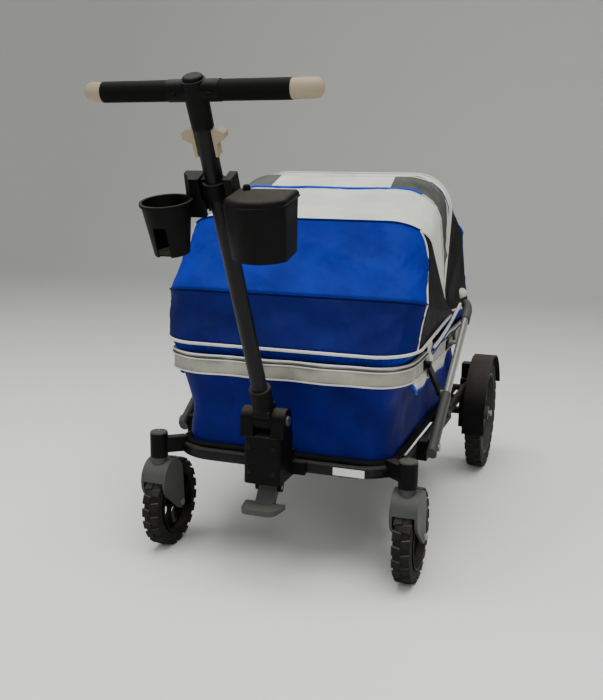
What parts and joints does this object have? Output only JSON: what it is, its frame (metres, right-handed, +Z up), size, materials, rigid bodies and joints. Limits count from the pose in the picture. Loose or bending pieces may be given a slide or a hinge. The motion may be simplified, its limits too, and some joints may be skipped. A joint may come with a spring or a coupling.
{
  "type": "folding beach cart",
  "caption": "Fabric-sided pull cart with a hooped canopy, front castors, large fixed rear wheels, scissor-arm folding rim and a leaning T-handle with cup holder and storage bin.",
  "frame": {"origin": "on the floor under the middle of the overall box", "axes": "+X to the cart's right, +Y to its rear (the handle is at -Y), +Z up"},
  "size_m": [0.664, 1.4858, 1.004],
  "materials": {
    "frame_paint": "satin black paint on steel tube",
    "steel": "plain zinc-plated steel",
    "black_plastic": "fine-grained moulded plastic",
    "grey_plastic": "fine-grained moulded plastic",
    "rim_plastic": "moulded plastic",
    "tyre_rubber": "matt rubber",
    "foam": "closed-cell foam",
    "beige_plastic": "satin moulded plastic",
    "arm_silver": "anodised aluminium",
    "bow_rod": "glass-fibre rod",
    "floor_board": "rigid board",
    "pad_fabric": "woven cover over foam",
    "basket_fabric": "coated woven polyester",
    "band_fabric": "padded woven band",
    "canopy_fabric": "coated woven polyester",
    "pocket_fabric": "woven polyester"
  },
  "bodies": {
    "chassis": {"front_frame_tube": "frame_paint", "side_tubes": "frame_paint", "cross_tubes": "frame_paint", "castor_housings": "black_plastic", "castor_caps": "grey_plastic", "rear_axle": "steel", "rear_axle_tube": "frame_paint", "axle_blocks": "black_plastic", "fenders": "black_plastic", "handle_bracket": "black_plastic", "pivot_pins": "steel", "lower_arm_mounts": "black_plastic", "floor_board": "floor_board", "floor_pad": "pad_fabric", "basket_walls": "basket_fabric"},
    "rim": {"rim_hoop": "frame_paint", "rim_band": "band_fabric", "upper_arm_mounts": "black_plastic", "canopy_brackets": "frame_paint", "side_pockets": "pocket_fabric"},
    "castor_left": {"castor_fork_left": "grey_plastic", "castor_axle_left": "steel"},
    "front_wheel_left": {"castor_rim_left": "black_plastic", "castor_tyre_left": "tyre_rubber"},
    "rear_wheel_left": {"rear_rim_left": "rim_plastic", "rear_tyre_left": "tyre_rubber"},
    "outer_arm_left": {"outer_arm_left": "arm_silver", "arm_fittings_left": "grey_plastic"},
    "inner_arm_left": {"inner_arm_left": "black_plastic"},
    "castor_right": {"castor_fork_right": "grey_plastic", "castor_axle_right": "steel"},
    "front_wheel_right": {"castor_rim_right": "black_plastic", "castor_tyre_right": "tyre_rubber"},
    "rear_wheel_right": {"rear_rim_right": "rim_plastic", "rear_tyre_right": "tyre_rubber"},
    "outer_arm_right": {"outer_arm_right": "arm_silver", "arm_fittings_right": "grey_plastic"},
    "inner_arm_right": {"inner_arm_right": "black_plastic"},
    "handle": {"handle_socket": "black_plastic", "handle_tube": "frame_paint", "handle_hub": "black_plastic", "cross_bar": "frame_paint", "hub_cap": "black_plastic", "grips": "foam", "end_caps": "beige_plastic", "hooks": "beige_plastic", "holder_collar": "black_plastic"},
    "cup_holder": {"cup_holder": "black_plastic"},
    "storage_bin": {"storage_bin": "black_plastic"},
    "bin_lid": {"bin_lid": "black_plastic"},
    "foot_pedal": {"foot_pedal": "grey_plastic"},
    "brake_pedal": {"brake_pedal": "black_plastic"},
    "seam_bow": {"seam_bow": "bow_rod"},
    "mid_bow": {"mid_bow": "bow_rod"},
    "rear_mid_bow": {"rear_mid_bow": "bow_rod"},
    "top_bow": {"top_bow": "bow_rod", "front_canopy_cloth": "canopy_fabric"},
    "rear_top_bow": {"rear_top_bow": "bow_rod", "rear_canopy_cloth": "canopy_fabric"}
  },
  "joints": [
    {"name": "fold", "type": "slide", "parent": "chassis", "child": "rim", "axis": [0, 0, -1], "range_m": [0, 0.14], "deforming": ["basket_walls"]},
    {"name": "castor_swivel_left", "type": "hinge", "parent": "chassis", "child": "castor_left", "pos_m": [-0.283, -0.331, 0.2], "axis": [0, 0, 1], "continuous": true},
    {"name": "front_wheel_roll_left", "type": "hinge", "parent": "castor_left", "child": "front_wheel_left", "pos_m": [-0.283, -0.281, 0.102], "axis": [1, 0, 0], "continuous": true},
    {"name": "rear_wheel_roll_left", "type": "hinge", "parent": "chassis", "child": "rear_wheel_left", "pos_m": [-0.3005, 0.579, 0.159], "axis": [1, 0, 0], "continuous": true},
    {"name": "outer_arm_fold_left", "type": "hinge", "parent": "chassis", "child": "outer_arm_left", "pos_m": [-0.3, -0.16, 0.262], "axis": [-1, 0, 0], "range_deg": [0, 25.6]},
    {"name": "inner_arm_fold_left", "type": "hinge", "parent": "rim", "child": "inner_arm_left", "pos_m": [-0.281, -0.16, 0.445], "axis": [1, 0, 0], "range_deg": [0, 25.6]},
    {"name": "castor_swivel_right", "type": "hinge", "parent": "chassis", "child": "castor_right", "pos_m": [0.283, -0.331, 0.2], "axis": [0, 0, 1], "continuous": true},
    {"name": "front_wheel_roll_right", "type": "hinge", "parent": "castor_right", "child": "front_wheel_right", "pos_m": [0.283, -0.281, 0.102], "axis": [1, 0, 0], "continuous": true},
    {"name": "rear_wheel_roll_right", "type": "hinge", "parent": "chassis", "child": "rear_wheel_right", "pos_m": [0.3005, 0.579, 0.159], "axis": [1, 0, 0], "continuous": true},
    {"name": "outer_arm_fold_right", "type": "hinge", "parent": "chassis", "child": "outer_arm_right", "pos_m": [0.3, -0.16, 0.262], "axis": [-1, 0, 0], "range_deg": [0, 25.6]},
    {"name": "inner_arm_fold_right", "type": "hinge", "parent": "rim", "child": "inner_arm_right", "pos_m": [0.281, -0.16, 0.445], "axis": [1, 0, 0], "range_deg": [0, 25.6]},
    {"name": "handle_tilt", "type": "hinge", "parent": "chassis", "child": "handle", "pos_m": [0, -0.4, 0.355], "axis": [1, 0, 0], "range_deg": [-26, 40]},
    {"name": "foot_pedal_press", "type": "hinge", "parent": "chassis", "child": "foot_pedal", "pos_m": [0, -0.378, 0.204], "axis": [1, 0, 0], "range_deg": [0, 15], "stiffness_Nm_per_rad": 2, "springref_deg": -11.46},
    {"name": "brake_press", "type": "hinge", "parent": "chassis", "child": "brake_pedal", "pos_m": [0, 0.606, 0.183], "axis": [-1, 0, 0], "range_deg": [0, 20]},
    {"name": "cup_holder_lift", "type": "slide", "parent": "handle", "child": "cup_holder", "axis": [0, -0.4602, 0.8878], "range_m": [0, 0.06]},
    {"name": "storage_bin_lift", "type": "slide", "parent": "handle", "child": "storage_bin", "axis": [0, -0.4602, 0.8878], "range_m": [0, 0.06]},
    {"name": "bin_lid_open", "type": "hinge", "parent": "storage_bin", "child": "bin_lid", "pos_m": [0.147, -0.67312, 0.80049], "axis": [0, 0.9703, 0.2419], "range_deg": [0, 100]},
    {"name": "front_canopy_fold", "type": "hinge", "parent": "mid_bow", "child": "top_bow", "pos_m": [0, 0.117, 0.52], "axis": [1, 0, 0], "range_deg": [0, 42], "deforming": ["front_canopy_cloth"]},
    {"name": "mid_bow_fold", "type": "hinge", "parent": "seam_bow", "child": "mid_bow", "pos_m": [0, 0.117, 0.52], "axis": [1, 0, 0], "range_deg": [0, 22.6], "deforming": ["front_canopy_cloth"]},
    {"name": "seam_bow_fold", "type": "hinge", "parent": "rim", "child": "seam_bow", "pos_m": [0, 0.117, 0.52], "axis": [1, 0, 0], "range_deg": [0, 4.8], "deforming": ["front_canopy_cloth"]},
    {"name": "rear_canopy_fold", "type": "hinge", "parent": "rear_mid_bow", "child": "rear_top_bow", "pos_m": [0, 0.117, 0.52], "axis": [-1, 0, 0], "range_deg": [0, 39], "deforming": ["rear_canopy_cloth"]},
    {"name": "rear_mid_bow_fold", "type": "hinge", "parent": "rim", "child": "rear_mid_bow", "pos_m": [0, 0.117, 0.52], "axis": [-1, 0, 0], "range_deg": [0, 29], "deforming": ["rear_canopy_cloth"]}
  ],
  "couplings": [
    {"joint": "outer_arm_fold_left", "follows": "fold", "rad_per_m": 3.1665},
    {"joint": "inner_arm_fold_left", "follows": "fold", "rad_per_m": 3.1665},
    {"joint": "outer_arm_fold_right", "follows": "fold", "rad_per_m": 3.1665},
    {"joint": "inner_arm_fold_right", "follows": "fold", "rad_per_m": 3.1665},
    {"joint": "mid_bow_fold", "follows": "front_canopy_fold", "ratio": 0.53333},
    {"joint": "seam_bow_fold", "follows": "front_canopy_fold", "ratio": 0.10952},
    {"joint": "rear_mid_bow_fold", "follows": "rear_canopy_fold", "ratio": 0.7359}
  ]
}
